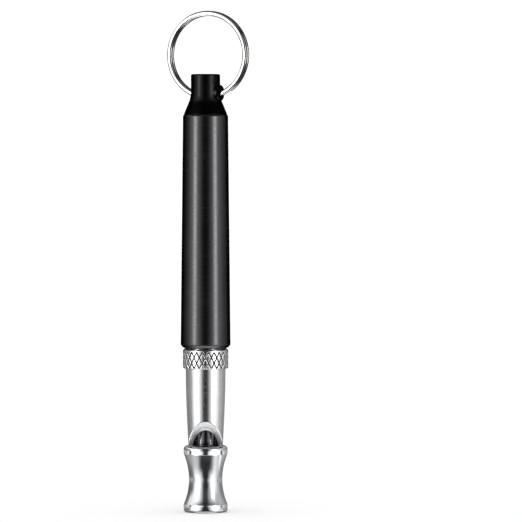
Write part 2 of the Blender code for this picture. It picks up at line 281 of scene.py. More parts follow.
# %% [markdown]
# ## The mouthpiece
# A brass turning with a hand-polished waist, plated in bright chrome.  Two plain bands stand at
# its ends, and the waist between them is two arcs that meet where it is narrowest.  It could be
# a Bezier curve with a Screw modifier, but the outline gives exact bands and a true arc, which a
# mirror finish shows without mercy.

# %% The mouthpiece's sizes
RIM_R, MOUTH_FOOT, MOUTH_TOP = reach("mouthpiece")
SPIGOT_R = 2.75              # the tube's spigot, which stands in the mouthpiece's socket
BAND_LOW, BAND_HIGH = (0.95, 1.5), (11.0, 11.95)
BAND_PROUD = 0.05            # the bands stand this far above the ends of the waist
WAIST_R, WAIST_Z = 3.17, 6.2
MOUTH_R = 2.2
SOCKET_R, SOCKET_FLOOR = SPIGOT_R + FIT, 7.95
BORE_R = 2.4
SHELF_Z = 5.8                # the breath channel opens to the bore here
FOOT_ROUND = 0.6
TOP_ROUND = MOUTH_TOP - BAND_HIGH[1]
MOUTH_COLUMNS = 160


def waist_arc(edge_z, steps=26):
    """From the waist to a band at edge_z, on the arc that is upright at the waist."""
    run, rise = abs(edge_z - WAIST_Z), RIM_R - BAND_PROUD - WAIST_R
    radius = (run * run + rise * rise) / (2 * rise)
    angle = math.degrees(math.asin(run / radius))
    toward = 1 if edge_z > WAIST_Z else -1
    return arc((WAIST_R + radius, WAIST_Z), radius, 180, 180 - toward * angle, steps)


print("the waist is", 2 * WAIST_R, "mm across, and the bands are", round(2 * RIM_R, 2), "mm")

# %% The mouthpiece's outline, from the foot up the outside and down the inside
waist = np.concatenate([waist_arc(BAND_LOW[1])[::-1], waist_arc(BAND_HIGH[0])[1:]])
foot = arc((RIM_R - FOOT_ROUND, MOUTH_FOOT + FOOT_ROUND), FOOT_ROUND, -65, 0, 10)
band_low = eased(
    [(RIM_R, BAND_LOW[0] - 0.2), (RIM_R, BAND_LOW[1]), waist[0], waist[1]], 0.025, closed=False,
)
band_high = eased(
    [waist[-2], waist[-1], (RIM_R, BAND_HIGH[0]), (RIM_R, BAND_HIGH[1] - 0.3)], 0.025,
    closed=False,
)
shoulder = arc((RIM_R - TOP_ROUND, BAND_HIGH[1]), TOP_ROUND, 0, 90, 12)
inside = eased(
    [
        (RIM_R - TOP_ROUND - 0.05, MOUTH_TOP), (SOCKET_R, MOUTH_TOP),
        (SOCKET_R, SOCKET_FLOOR), (BORE_R, SOCKET_FLOOR), (BORE_R, SHELF_Z), (MOUTH_R, SHELF_Z),
        (MOUTH_R, MOUTH_FOOT + 0.5), (MOUTH_R + 0.4, MOUTH_FOOT),
    ],
    0.05, closed=False,
)
mouthpiece = np.concatenate([
    [(RIM_R - 0.7, MOUTH_FOOT)], foot, band_low[1:-1], waist[2:-2], band_high[1:], shoulder, inside,
])
outline_r, outline_z = mouthpiece.T
in_waist = (outline_z > BAND_LOW[1]) & (outline_z < BAND_HIGH[0]) & (outline_r > BORE_R + 0.1)
finish_piece(
    "mouthpiece", "whistle", "polished_chrome", (spun(mouthpiece, MOUTH_COLUMNS), LOOP),
    waist=np.repeat(in_waist, MOUTH_COLUMNS),
)

# %% [markdown]
# ## The fipple plug
# A small moulded plug that fills the bore except for a flat along its front.  The breath is
# squeezed through that slot on its way to the lip.  A boolean cut would make the flat, but the
# section is only the smaller of a circle and a flat, so a single formula gives both.

# %% The fipple plug
PLUG_R, PLUG_FOOT, PLUG_TOP = reach("fipple_plug")
WINDWAY = -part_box("fipple_plug")[0].y / MM
ON_AXIS = 0.02               # radius at which a solid piece's end rows stop, inside their fans


def flattened(grid, flat):
    """Keeps every point behind the plane y = -flat, by drawing it in towards the axis."""
    drawn = grid.copy()
    share = np.minimum(1, flat / np.maximum(-grid[..., 1], 1e-6))
    share = np.where(grid[..., 1] < 0, share, 1)
    drawn[..., :2] *= share[..., None]
    return drawn


plug = eased(
    [
        (ON_AXIS, PLUG_FOOT), (PLUG_R - 0.3, PLUG_FOOT), (PLUG_R, PLUG_FOOT + 0.3),
        (PLUG_R, PLUG_TOP), (ON_AXIS, PLUG_TOP),
    ],
    0.06, closed=False,
)
plug = flattened(spun(plug, 96), WINDWAY)
finish_piece("fipple_plug", "whistle", "black_plastic", (plug, CAPPED))
print("the windway is", round(BORE_R - WINDWAY, 2), "mm deep")

# %% [markdown]
# ## The tube and its window
# This is the whistle itself: an aluminium tube with a slanted window, whose sharp lower lip
# splits the breath and makes the sound.  A boolean cut would leave long thin faces just where
# the light is most critical, so the window is part of the formula instead.  Each column of the
# tube ends on the slanted plane, or on the window's floor where the plane lies lower than that.
# The cutter leaves fine arcs across the slanted face, and the lip's own edge is stoned.

# %% The window's plane
_, TUBE_FOOT, TUBE_TOP = reach("whistle_tube")
TAIL_R = 3.5                 # crest of the thread that the sleeve screws on
COLLAR_R, COLLAR_FOOT, COLLAR_TOP = reach("knurled_collar")
TUBE_LOW_R, TUBE_HIGH_R = 3.27, 3.77
LIP_Z, LIP_SLOPE = 15.6, 1.55
WINDOW_FLOOR = MOUTH_TOP - 0.1
TUBE_SHOULDER = COLLAR_FOOT - FIT
TUBE_COLUMNS = 224
turn = around(TUBE_COLUMNS)
facing = -np.sin(turn)       # 1 where a column faces the front, -1 at the back


def tube_radius(z):
    """Outside of the tube: a quarter sine wave from the mouthpiece to the collar."""
    share = np.clip((z - MOUTH_TOP) / (TUBE_SHOULDER - MOUTH_TOP), 0, 1)
    return TUBE_LOW_R + (TUBE_HIGH_R - TUBE_LOW_R) * np.sin(share * math.pi / 2)


def cut_height(radius):
    """Height of the window's plane over a circle: the lip's height plus slope times way out."""
    return np.maximum(WINDOW_FLOOR - FIT, LIP_Z + (radius * facing - BORE_R) * LIP_SLOPE)


outer_end = cut_height(TUBE_LOW_R)
for _ in range(8):           # radius and height depend on each other, and soon settle
    outer_end = cut_height(tube_radius(outer_end))
print("the window is", round(float(outer_end.max() - WINDOW_FLOOR), 2), "mm high at the front")

# %% The slanted face
BURR = 0.05                  # the cutter's burr is taken off by this much
LIP_LAND, LIP_TILT = 0.20, 0.24      # the lip is stoned over this share, a little steeper
MARK_PITCH, MARK_DEPTH = 0.28, 0.026     # cutter marks; real ones are half as coarse
inner_end = cut_height(BORE_R)
outer_r = tube_radius(outer_end)
end_share = np.linspace(0.05, 0.95, 20)[:, None]
end_r = BORE_R + (outer_r - BORE_R) * end_share
on_plane = smoothstep((cut_height(end_r) - WINDOW_FLOOR) / 0.3) * (end_share > LIP_LAND)
marks = MARK_DEPTH * on_plane * np.sin(math.tau * (end_r - BORE_R) / MARK_PITCH)
stoned = np.maximum(0, LIP_LAND - end_share) * (outer_r - BORE_R)
end_z = cut_height(end_r) + marks - LIP_TILT * np.maximum(facing, 0) * stoned
end_z = np.maximum(WINDOW_FLOOR - FIT, end_z)
print("the slanted face has", len(end_share), "rows across the wall")

# %% The tube's wall
THREAD_PITCH, THREAD_DEPTH = 0.75, 0.36
THREAD_START, THREAD_END = COLLAR_TOP + 0.9, TUBE_TOP - 0.25
BLEND_Z = 18.6               # above this the rows are level again
TURNED, MILLED, BORED = 0.0, 0.5, 1.0    # how each part was cut, for its finish


def thread(r, z, pitch, depth, low, high, angle):
    """A helical V thread: the crest radius less a rounded groove, faded out at both ends."""
    phase = (z / pitch - angle / math.tau) % 1
    groove = 0.5 - 0.5 * np.cos(math.tau * phase)
    fade = smoothstep((z - low) / (0.4 * pitch)) * smoothstep((high - z) / (0.4 * pitch))
    return r - depth * groove ** 0.8 * fade


up = np.linspace(0, 1, 22)[:, None]
low_z = (outer_end + BURR) * (1 - up) + BLEND_Z * up
plain_z = np.linspace(BLEND_Z, TUBE_SHOULDER, 16)[1:, None]
tail_z = np.linspace(TUBE_SHOULDER + 0.02, TUBE_TOP - 0.2, 150)[:, None]
tail_r = thread(TAIL_R, tail_z, THREAD_PITCH, THREAD_DEPTH, THREAD_START, THREAD_END, turn)
end_r_z = np.array(
    [(TAIL_R - 0.2, TUBE_TOP), (BORE_R + 0.1, TUBE_TOP), (BORE_R, TUBE_TOP - 0.1)]
)[:, :, None]
down = np.linspace(0, 1, 14)[:, None]
parts = [
    (tube_radius(low_z), low_z, TURNED),
    (tube_radius(plain_z), plain_z, TURNED),
    (tail_r, tail_z, TURNED),
    (end_r_z[:, 0], end_r_z[:, 1], TURNED),
    (BORE_R, BLEND_Z + (inner_end + BURR - BLEND_Z) * down, BORED),
    (end_r, end_z, np.where(end_share < LIP_LAND, TURNED, MILLED)),
]
wall = [round_axis(r, z, turn) for r, z, _ in parts]
cut_kind = [np.broadcast_to(part[2], rows.shape[:2]) for part, rows in zip(parts, wall)]
spigot = eased(
    [
        (BORE_R, TUBE_FOOT), (SPIGOT_R, TUBE_FOOT), (SPIGOT_R, WINDOW_FLOOR),
        (BORE_R, WINDOW_FLOOR),
    ],
    0.06,
)
finish_piece(
    "whistle_tube", "whistle", "satin_aluminium",
    (np.concatenate(wall), LOOP), (spun(spigot, TUBE_COLUMNS), LOOP),
    sharp=38, cut_kind=np.concatenate(cut_kind),
)

# %% [markdown]
# ## The knurled collar
# A grip ring that two hardened wheels have rolled, each pressing one family of slanted grooves.
# Where the families cross they leave diamonds with flat tops.  A bump texture would look right
# face on but leave the outline smooth, so the grooves are cut into the surface itself.

# %% The collar's grooves
STARTS = 24                  # grooves in each family
GROOVE_RISE = 2.1            # height between two grooves of one family, in millimetres
GROOVE_DEPTH, GROOVE_HALF = 0.13, 0.16
KNURL_COLUMNS = STARTS * 22
BEVEL = 0.28
FOOT_BEVEL = 0.1             # the grooves run out through the lower edge, which is barely broken
PLAIN_BAND = 0.18            # smooth land that the wheels leave under the top bevel


def groove_distance(angle, z, hand):
    """How far a point is from the nearest groove of one family, in millimetres round."""
    phase = angle * STARTS / math.tau + hand * z / GROOVE_RISE
    spacing = math.tau * COLLAR_R / STARTS
    return np.abs((phase + 0.5) % 1 - 0.5) * spacing


def groove_share(angle, z):
    """0 on the land and 1 at the bottom of a groove: the deeper of two families' V grooves."""
    near = np.minimum(groove_distance(angle, z, 1), groove_distance(angle, z, -1))
    below_band = smoothstep((COLLAR_TOP - BEVEL - PLAIN_BAND - z) / 0.12)
    return np.clip(1 - near / GROOVE_HALF, 0, 1) * below_band


print("a diamond is", round(math.tau * COLLAR_R / STARTS, 2), "mm wide,", GROOVE_RISE, "mm high")

# %% The collar
knurl_turn = around(KNURL_COLUMNS)
land_z = np.linspace(COLLAR_FOOT + FOOT_BEVEL, COLLAR_TOP - BEVEL, 70)[:, None]
grooves = groove_share(knurl_turn, land_z)
land = round_axis(COLLAR_R - GROOVE_DEPTH * grooves, land_z, knurl_turn)
collar_bore = TAIL_R + FIT
ends = eased(
    [
        (COLLAR_R - 0.03, COLLAR_TOP - BEVEL), (COLLAR_R - BEVEL, COLLAR_TOP),
        (collar_bore, COLLAR_TOP), (collar_bore, COLLAR_FOOT), (COLLAR_R - 0.2, COLLAR_FOOT),
        (COLLAR_R - 0.08, COLLAR_FOOT + FOOT_BEVEL),
    ],
    0.03, closed=False,
)
finish_piece(
    "knurled_collar", "whistle", "satin_aluminium",
    (np.concatenate([land, spun(ends, KNURL_COLUMNS)]), LOOP), sharp=30, groove=grooves,
)

# %% [markdown]
# ## Seals and the thread bush
# Two moulded rubber rings, and a flanged brass bush whose hole carries a fine thread.  A seal is
# a circle spun round the axis.  The bush is a plain turning with the thread's formula in its
# hole: the same groove turned inside out, where a Screw modifier would need an end made by hand.

# %% The seals
def o_ring(name, body):
    """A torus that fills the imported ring's box: middle radius and section come from it."""
    outer, foot, top = reach(name)
    half = (top - foot) / 2
    circle = arc((outer - half, (foot + top) / 2), half, 0, 360, 24)[:-1]
    finish_piece(name, body, "seal_rubber", (spun(circle, 112), LOOP))


o_ring("barrel_seal", "barrel_gasket")
o_ring("piston_seal", "piston_ring")


# %% The thread bush
def tapped(bore_r, z, pitch, depth, low, high, columns):
    """Rows of a threaded hole: the thread's formula turned inside out about the bore's radius."""
    angle = around(columns)
    r = 2 * bore_r - thread(bore_r, z, pitch, depth, low, high, angle)
    return round_axis(r, z, angle)


ROD_R = 1.45                 # crest of the tuning rod's thread
FINE_PITCH, FINE_DEPTH = 0.5, 0.17
FLANGE_R, BUSH_FOOT, FLANGE_TOP = reach("thread_bush")
FLANGE_FOOT = TUBE_TOP + FIT
TAPPED_R = ROD_R + FIT       # the holes that the rod passes through
BUSH_COLUMNS = 96
bush = eased(
    [
        (TAPPED_R, BUSH_FOOT), (BORE_R - FIT, BUSH_FOOT), (BORE_R - FIT, FLANGE_FOOT),
        (FLANGE_R, FLANGE_FOOT), (FLANGE_R, FLANGE_TOP), (TAPPED_R, FLANGE_TOP),
    ],
    0.08, closed=False,
)
hole_z = np.linspace(FLANGE_TOP - 0.05, BUSH_FOOT + 0.05, 90)[:, None]
hole = tapped(TAPPED_R, hole_z, FINE_PITCH, FINE_DEPTH, BUSH_FOOT, FLANGE_TOP, BUSH_COLUMNS)
finish_piece(
    "thread_bush", "whistle", "machined_brass",
    (np.concatenate([spun(bush, BUSH_COLUMNS), hole]), LOOP), sharp=40,
)

# %% [markdown]
# ## The sleeve
# A long tapered aluminium sleeve, anodised black, that covers the tuning gear.  Its mouth is
# bevelled outside, holds the seal in a pocket and is threaded inside, which shows when it is
# unscrewed and drawn off.  A cone with bevels would give the outside alone, so one outline runs
# up the outside and down the bore, and the thread's rows close it.

# %% The barrel sleeve
SLEEVE_LOW_R, SLEEVE_FOOT, SLEEVE_TOP = reach("barrel_sleeve")
SLEEVE_HIGH_R = 4.28
SLEEVE_BORE_R = 3.6
POCKET_R, POCKET_TOP = 4.22, 31.95
SCREW_TOP, SCREW_DEPTH = 40.2, 0.3
MOUTH_BEVEL = 0.5
SLEEVE_COLUMNS = 144
sleeve_taper = (SLEEVE_HIGH_R - SLEEVE_LOW_R) / (SLEEVE_TOP - SLEEVE_FOOT - MOUTH_BEVEL)


def on_sleeve(z):
    """A point (r, z) on the straight taper from the mouth's bevel to the top of the sleeve."""
    return SLEEVE_LOW_R + sleeve_taper * (z - SLEEVE_FOOT - MOUTH_BEVEL), z


sleeve_side = np.stack(on_sleeve(np.linspace(SLEEVE_FOOT + 2, SLEEVE_TOP - 2, 12)), axis=1)
mouth_edge = eased(
    [
        (POCKET_R, POCKET_TOP), (POCKET_R, SLEEVE_FOOT), (POCKET_R + 0.10, SLEEVE_FOOT),
        (SLEEVE_LOW_R, SLEEVE_FOOT + MOUTH_BEVEL), on_sleeve(SLEEVE_FOOT + 1.5),
    ],
    [0.05, 0.05, 0.05, 0.09, 0.05], closed=False,
)
top_edge = eased(
    [
        on_sleeve(SLEEVE_TOP - 1.5), on_sleeve(SLEEVE_TOP - 0.3),
        (SLEEVE_HIGH_R - 0.14, SLEEVE_TOP), (SLEEVE_BORE_R, SLEEVE_TOP),
        (SLEEVE_BORE_R, SLEEVE_TOP - 2),
    ],
    0.06, closed=False,
)
thread_z = np.linspace(SCREW_TOP + 0.2, POCKET_TOP + 0.02, 120)[:, None]
inner_thread = tapped(
    SLEEVE_BORE_R, thread_z, THREAD_PITCH, SCREW_DEPTH, POCKET_TOP + 0.1, SCREW_TOP,
    SLEEVE_COLUMNS,
)
sleeve = spun(np.concatenate([mouth_edge, sleeve_side, top_edge]), SLEEVE_COLUMNS)
finish_piece(
    "barrel_sleeve", "barrel", "black_anodised", (np.concatenate([sleeve, inner_thread]), LOOP),
    sharp=35,
)

# %% [markdown]
# ## The neck and its eye
# The neck plug is pressed into the sleeve's top: a short cone, then a neck that is drilled
# across for the key ring.  The hole meets the neck along a curve that no grid follows, so this
# is the place for a boolean cut.  A small bush lines the hole against wear, and one end of it
# stands out.

# %% The neck plug's outline
CONE_R, PRESSED_FOOT, NECK_TOP = reach("neck_plug")
NECK_R, NECK_FOOT_R, NECK_FOOT = 2.77, 3.08, 77.9
FLARE_TOP = EYE_Z + 0.9
PRESSED_R = SLEEVE_BORE_R - FIT
NECK_ROUND = 0.35
CONE_FOOT = SLEEVE_TOP + 0.005       # pressed home: no daylight shows between cone and sleeve
flare_z = np.linspace(NECK_FOOT, FLARE_TOP, 12)[1:]
flare_share = smoothstep(np.sqrt((flare_z - NECK_FOOT) / (FLARE_TOP - NECK_FOOT)))
flare = np.stack([NECK_FOOT_R + (NECK_R - NECK_FOOT_R) * flare_share, flare_z], axis=1)
cone = eased(
    [
        (ON_AXIS, PRESSED_FOOT), (PRESSED_R - 0.3, PRESSED_FOOT),
        (PRESSED_R, PRESSED_FOOT + 0.3), (PRESSED_R, CONE_FOOT), (CONE_R, CONE_FOOT),
        (CONE_R, CONE_FOOT + 0.15), (NECK_FOOT_R, NECK_FOOT), tuple(flare[0]),
    ],
    [0.05, 0.05, 0.05, 0.05, 0.05, 0.06, 0.25, 0.05], closed=False,
)
head = arc((NECK_R - NECK_ROUND, NECK_TOP - NECK_ROUND), NECK_ROUND, 0, 90, 10)
neck_outline = np.concatenate([cone, flare[1:], head, [(1.6, NECK_TOP), (ON_AXIS, NECK_TOP)]])
print("the cone narrows from", round(CONE_R, 2), "to", NECK_FOOT_R, "mm in radius")

# %% The neck plug, drilled for the ring
EYE_BUSH_R, EYE_R = 1.58, 1.32


def on_eye(grid):
    """Stands a piece that was spun round Z along the eye instead, at the eye's height."""
    across = np.cross(EYE_BACK, EYE_ALONG)
    placed = grid[..., :1] * across + grid[..., 1:2] * EYE_BACK + grid[..., 2:] * EYE_ALONG
    return placed + np.array([0, 0, EYE_Z])


neck = finish_piece(
    "neck_plug", "barrel", "black_anodised", (spun(neck_outline, SLEEVE_COLUMNS), CAPPED),
)
drill = spun([(EYE_BUSH_R + FIT, -2 * NECK_R), (EYE_BUSH_R + FIT, 2 * NECK_R)], 64)
drilled(neck, make_mesh("drill", (on_eye(drill), CAPPED)))
print("the neck's eye is", round(2 * EYE_R, 2), "mm across inside its bush")

# %% The wear bush
BUSH_LEFT, BUSH_RIGHT = -2.35, 3.3       # its ends, measured along the eye
wear_bush = eased(
    [
        (EYE_R, BUSH_LEFT + 0.12), (EYE_R + 0.12, BUSH_LEFT), (EYE_BUSH_R - 0.05, BUSH_LEFT),
        (EYE_BUSH_R, BUSH_LEFT + 0.05), (EYE_BUSH_R, BUSH_RIGHT - 0.3),
        (EYE_BUSH_R - 0.16, BUSH_RIGHT), (EYE_R + 0.05, BUSH_RIGHT), (EYE_R, BUSH_RIGHT - 0.1),
    ],
    0.07,
)
finish_piece("eye_bush", "barrel", "black_anodised", (on_eye(spun(wear_bush, 72)), LOOP))

# %% [markdown]
# ## The key ring
# A length of spring steel wound nearly twice round, so that it grips itself.  A torus can't
# overlap itself, and a curve with a bevel gives no control of its section's turn.  So the wire's
# section, an ellipse with u = w/2 cos t and v = h/2 sin t, is carried along a circle that steps
# from the back layer to the front layer where it passes through the eye.

# %% The split ring
WIRE_W, WIRE_T = 1.0, 0.78
LAYER_GAP = 0.06
RING_R, RING_SHIFT, RING_RISE = 7.88, 0.53, 7.18
RING_START, RING_END = 305, 970          # degrees along the wind
STEP_START, STEP_END = 614, 656          # here the wire crosses from one layer to the other
WIRE_ROWS = 560
BLUNTED = 0.72                           # size of the section at the wire's two cut ends

wind = np.radians(np.linspace(RING_START, RING_END, WIRE_ROWS))
crossing = smoothstep((np.degrees(wind) - STEP_START) / (STEP_END - STEP_START))
layer = (WIRE_T + LAYER_GAP) / 2 * (1 - 2 * crossing)
outward = np.outer(np.cos(wind), EYE_ALONG) + np.outer(np.sin(wind), [0, 0, 1.0])
path_centre = np.array([0, 0, EYE_Z + RING_RISE]) + RING_SHIFT * EYE_ALONG
path = path_centre + RING_R * outward + layer[:, None] * EYE_BACK
section = around(28)
section_u = WIRE_W / 2 * np.cos(section)[None, :, None]
section_v = WIRE_T / 2 * np.sin(section)[None, :, None]
row = np.arange(WIRE_ROWS)
from_end = np.minimum(row, row[::-1])
blunt = BLUNTED + (1 - BLUNTED) * np.sqrt(np.clip(from_end / 2, 0, 1))
wire = path[:, None] + blunt[:, None, None] * (section_u * outward[:, None] + section_v * EYE_BACK)
finish_piece("split_ring", "key_ring", "spring_steel", (wire, CAPPED), sharp=40)
print("the wire is", round(RING_R * float(wind[-1] - wind[0]), 1), "mm long")

# %% [markdown]
# ## The tuning gear
# Under the sleeve a brass rod with an M3 x 0.5 thread pushes a sealed piston down the tube, and
# so sets the pitch.  A knurled knob turns it and a nut locks it.  A bump map could fake the
# thread, but it is the first thing one looks at with the sleeve off, so it is a real helix.

# %% The piston
PISTON_R, PISTON_FACE, PISTON_BACK = reach("piston")
_, SEAL_FOOT, SEAL_TOP = reach("piston_seal")
GROOVE_R, GROOVE_FOOT, GROOVE_TOP = 1.72, SEAL_FOOT - 0.06, SEAL_TOP + 0.06
TIP_SEAT_R, TIP_SEAT_DEPTH = 1.05, 2.6
piston = eased(
    [
        (ON_AXIS, PISTON_FACE), (PISTON_R - 0.2, PISTON_FACE), (PISTON_R, PISTON_FACE + 0.2),
        (PISTON_R, GROOVE_FOOT), (GROOVE_R, GROOVE_FOOT), (GROOVE_R, GROOVE_TOP),
        (PISTON_R, GROOVE_TOP), (PISTON_R, PISTON_BACK - 0.2), (PISTON_R - 0.2, PISTON_BACK),
        (TIP_SEAT_R, PISTON_BACK), (TIP_SEAT_R, PISTON_BACK - TIP_SEAT_DEPTH),
        (ON_AXIS, PISTON_BACK - TIP_SEAT_DEPTH),
    ],
    0.05, closed=False,
)
finish_piece("piston", "tuner", "machined_brass", (spun(piston, 96), CAPPED))

# %% The threaded rod, with a driver's slot in its end
_, ROD_TIP, ROD_TOP = reach("tuning_rod")
KNOB_R, KNOB_FOOT, KNOB_TOP = reach("thumb_knob")
TIP_R, KNOB_SEAT_R = 1.0, 1.1
SLOT_HALF, SLOT_DEPTH = 0.25, 0.9
ROD_COLUMNS = 48
rod_z = np.linspace(PISTON_BACK + 0.15, KNOB_FOOT - 0.15, 620)[:, None]
rod_turn = around(ROD_COLUMNS)
rod_r = thread(
    ROD_R, rod_z, FINE_PITCH, FINE_DEPTH, PISTON_BACK + 0.1, KNOB_FOOT - 0.1, rod_turn,
)
tip = eased(
    [
        (ON_AXIS, ROD_TIP), (TIP_R, ROD_TIP), (TIP_R, PISTON_BACK + FIT),
        (ROD_R - 0.1, PISTON_BACK + FIT),
    ],
    0.12, closed=False,
)
seat = eased(
    [
        (ROD_R - 0.1, KNOB_FOOT - FIT), (KNOB_SEAT_R, KNOB_FOOT - FIT), (KNOB_SEAT_R, ROD_TOP),
        (ON_AXIS, ROD_TOP),
    ],
    0.1, closed=False,
)
rod_rows = [spun(tip, ROD_COLUMNS), round_axis(rod_r, rod_z, rod_turn), spun(seat, ROD_COLUMNS)]
rod = finish_piece(
    "tuning_rod", "tuner", "machined_brass", (np.concatenate(rod_rows), CAPPED), sharp=45,
)
slot = np.array([(-2, -SLOT_HALF), (2, -SLOT_HALF), (2, SLOT_HALF), (-2, SLOT_HALF)])
slot_rows = np.stack(
    [np.column_stack([slot, np.full(4, z)]) for z in (ROD_TOP - SLOT_DEPTH, ROD_TOP + 1)]
)
drilled(rod, make_mesh("slot", (slot_rows, CAPPED)))

# %% The knob
TEETH, COLUMNS_A_TOOTH, TOOTH_DEPTH = 30, 8, 0.12
knob_turn = around(TEETH * COLUMNS_A_TOOTH)
tooth = TOOTH_DEPTH * (0.5 - 0.5 * np.cos(knob_turn * TEETH)) ** 0.7
knob_r, knob_z = eased(
    [
        (KNOB_SEAT_R + FIT, KNOB_FOOT), (KNOB_R - 0.3, KNOB_FOOT), (KNOB_R, KNOB_FOOT + 0.3),
        (KNOB_R, KNOB_TOP - 0.3), (KNOB_R - 0.3, KNOB_TOP), (KNOB_SEAT_R + FIT, KNOB_TOP),
    ],
    0.05,
).T[:, :, None]
knob_r = knob_r - tooth * smoothstep((knob_r - KNOB_R + 0.32) / 0.3)
finish_piece(
    "thumb_knob", "tuner", "machined_brass", (round_axis(knob_r, knob_z, knob_turn), LOOP),
    sharp=40,
)

# %% The washer
WASHER_R, WASHER_FOOT, WASHER_TOP = reach("lock_washer")
WASHER_HOLE_R = ROD_R + 0.08
washer = eased(
    [
        (WASHER_HOLE_R, WASHER_FOOT), (WASHER_R, WASHER_FOOT), (WASHER_R, WASHER_TOP),
        (WASHER_HOLE_R, WASHER_TOP),
    ],
    0.09,
)
finish_piece("lock_washer", "washer", "spring_steel", (spun(washer, 96), LOOP))

# %% The nut: a hexagon whose corners a cone has cut back at both faces
NUT_CORNER_R, NUT_FOOT, NUT_TOP = reach("lock_nut")
NUT_COLUMNS = 144
NUT_LEAD = 0.15              # chamfer at each end of the hole
nut_turn = around(NUT_COLUMNS)
flat_r = NUT_CORNER_R * math.cos(math.pi / 6)
hexagon = flat_r / np.cos((nut_turn % (math.pi / 3)) - math.pi / 6)
side_z = np.concatenate([
    np.linspace(NUT_FOOT, NUT_FOOT + 0.5, 12), np.linspace(NUT_TOP - 0.5, NUT_TOP, 12),
])[:, None]
from_face = np.minimum(side_z - NUT_FOOT, NUT_TOP - side_z)
side_r = np.minimum(hexagon, flat_r - 0.08 + from_face * math.tan(math.radians(60)))
nut_inside = eased(
    [
        (TAPPED_R + 0.6, NUT_TOP), (TAPPED_R + NUT_LEAD, NUT_TOP), (TAPPED_R, NUT_TOP - NUT_LEAD),
        (TAPPED_R, NUT_FOOT + NUT_LEAD), (TAPPED_R + NUT_LEAD, NUT_FOOT),
        (TAPPED_R + 0.6, NUT_FOOT),
    ],
    0.03, closed=False,
)
nut = np.concatenate([round_axis(side_r, side_z, nut_turn), spun(nut_inside, NUT_COLUMNS)])
finish_piece("lock_nut", "nut", "machined_brass", (nut, LOOP), sharp=25)

# %% [markdown]
# ## Materials
# Every finish starts from what the real thing is made of and how its surface was cut, plated or
# moulded.  They all follow one recipe: patterns of noise, worked out in real millimetres so that
# they stay put when a piece moves, then roughness, colour and relief that read the patterns.  So
# the recipe is one function, and a finish is a few tables of numbers with names.

# %% Colour and node helpers
def linear(code):
    """An sRGB hex colour in linear numbers: c / 12.92 when dark, else ((c + 0.055) / 1.055)^2.4."""
    parts = np.array([int(code[i:i + 2], 16) for i in (1, 3, 5)]) / 255
    parts = np.where(parts <= 0.04045, parts / 12.92, ((parts + 0.055) / 1.055) ** 2.4)
    return (*parts.tolist(), 1.0)


def add(tree, kind, sockets=None, **settings):
    """Adds a node.  Sockets give each input a value, an output to link, or a node to link.

    A node stands for its first output that is in use.
    """
    made = tree.nodes.new("ShaderNode" + kind)
    for name, value in settings.items():
        setattr(made, name, value)
    for name, value in (sockets or {}).items():
        if isinstance(value, bpy.types.Node):
            value = next(output for output in value.outputs if output.enabled)
        if isinstance(value, bpy.types.NodeSocket):
            tree.links.new(value, made.inputs[name])
        else:
            made.inputs[name].default_value = value
    return made


print("mid grey #808080 is", round(linear("#808080")[0], 3), "in linear light")


# %% The recipe
def blank(name):
    """An empty node material, its tree, and the one thing known so far: place in millimetres."""
    made = bpy.data.materials.new(name)
    made.use_nodes = True
    tree = made.node_tree
    tree.nodes.clear()
    metres = add(tree, "TexCoord").outputs["Object"]
    return made, tree, {"place": add(tree, "Mapping", {"Vector": metres, "Scale": [1 / MM] * 3})}


def finish(material, known, noises, ranges, rough, tones, relief, shader, worn_by, masks=()):
    """Builds a finish from tables whose labels stand for what is known or was made before.

    noises: where it is read, cells per millimetre (one number, or x, y and z), detail, roughness
    ranges: what is read, from, to, and the values at those two, evenly between them; masks: eased
    rough: a label, then (label, weight) pairs that are added; tones: a colour, then (label,
    colour) pairs that are mixed over it; relief: label, strength and depth in millimetres
    """
    tree = material.node_tree
    for label, (source, cells, detail, roughness) in noises.items():
        space = add(tree, "Mapping", {
            "Vector": known[source], "Scale": np.broadcast_to(cells, 3).tolist(),
        })
        known[label] = add(tree, "TexNoise", {
            "Vector": space, "Scale": 1.0, "Detail": detail, "Roughness": roughness,
        })
    for table, easing in ((ranges, "LINEAR"), (masks, "SMOOTHSTEP")):
        for label, (source, low, high, at_low, at_high) in dict(table).items():
            known[label] = add(tree, "MapRange", {
                "Value": known[source], "From Min": low, "From Max": high,
                "To Min": at_low, "To Max": at_high,
            }, interpolation_type=easing)
    dull, tone, sockets = known[rough[0]], linear(tones[0]), dict(shader)
    for label, weight in rough[1:]:
        dull = add(tree, "Math", {0: known[label], 1: weight, 2: dull}, operation="MULTIPLY_ADD")
    for label, other in tones[1:]:
        tone = add(tree, "Mix", {
            "Factor": known[label], "A": tone, "B": linear(other),
        }, data_type="RGBA")
    for label, strength, depth in relief:
        under = {"Normal": sockets["Normal"]} if "Normal" in sockets else {}
        sockets["Normal"] = add(tree, "Bump", {
            "Height": known[label], "Strength": strength, "Distance": depth * MM, **under,
        })
    made = add(tree, "BsdfPrincipled", {"Base Color": tone, "Roughness": dull, **sockets})
    add(tree, "OutputMaterial", {"Surface": made})
    for name in worn_by:
        PIECES[name].data.materials.clear()
        PIECES[name].data.materials.append(material)
    print(material.name, "is worn by", ", ".join(worn_by))


print("patterns count in millimetres, so places are scaled by", 1 / MM)
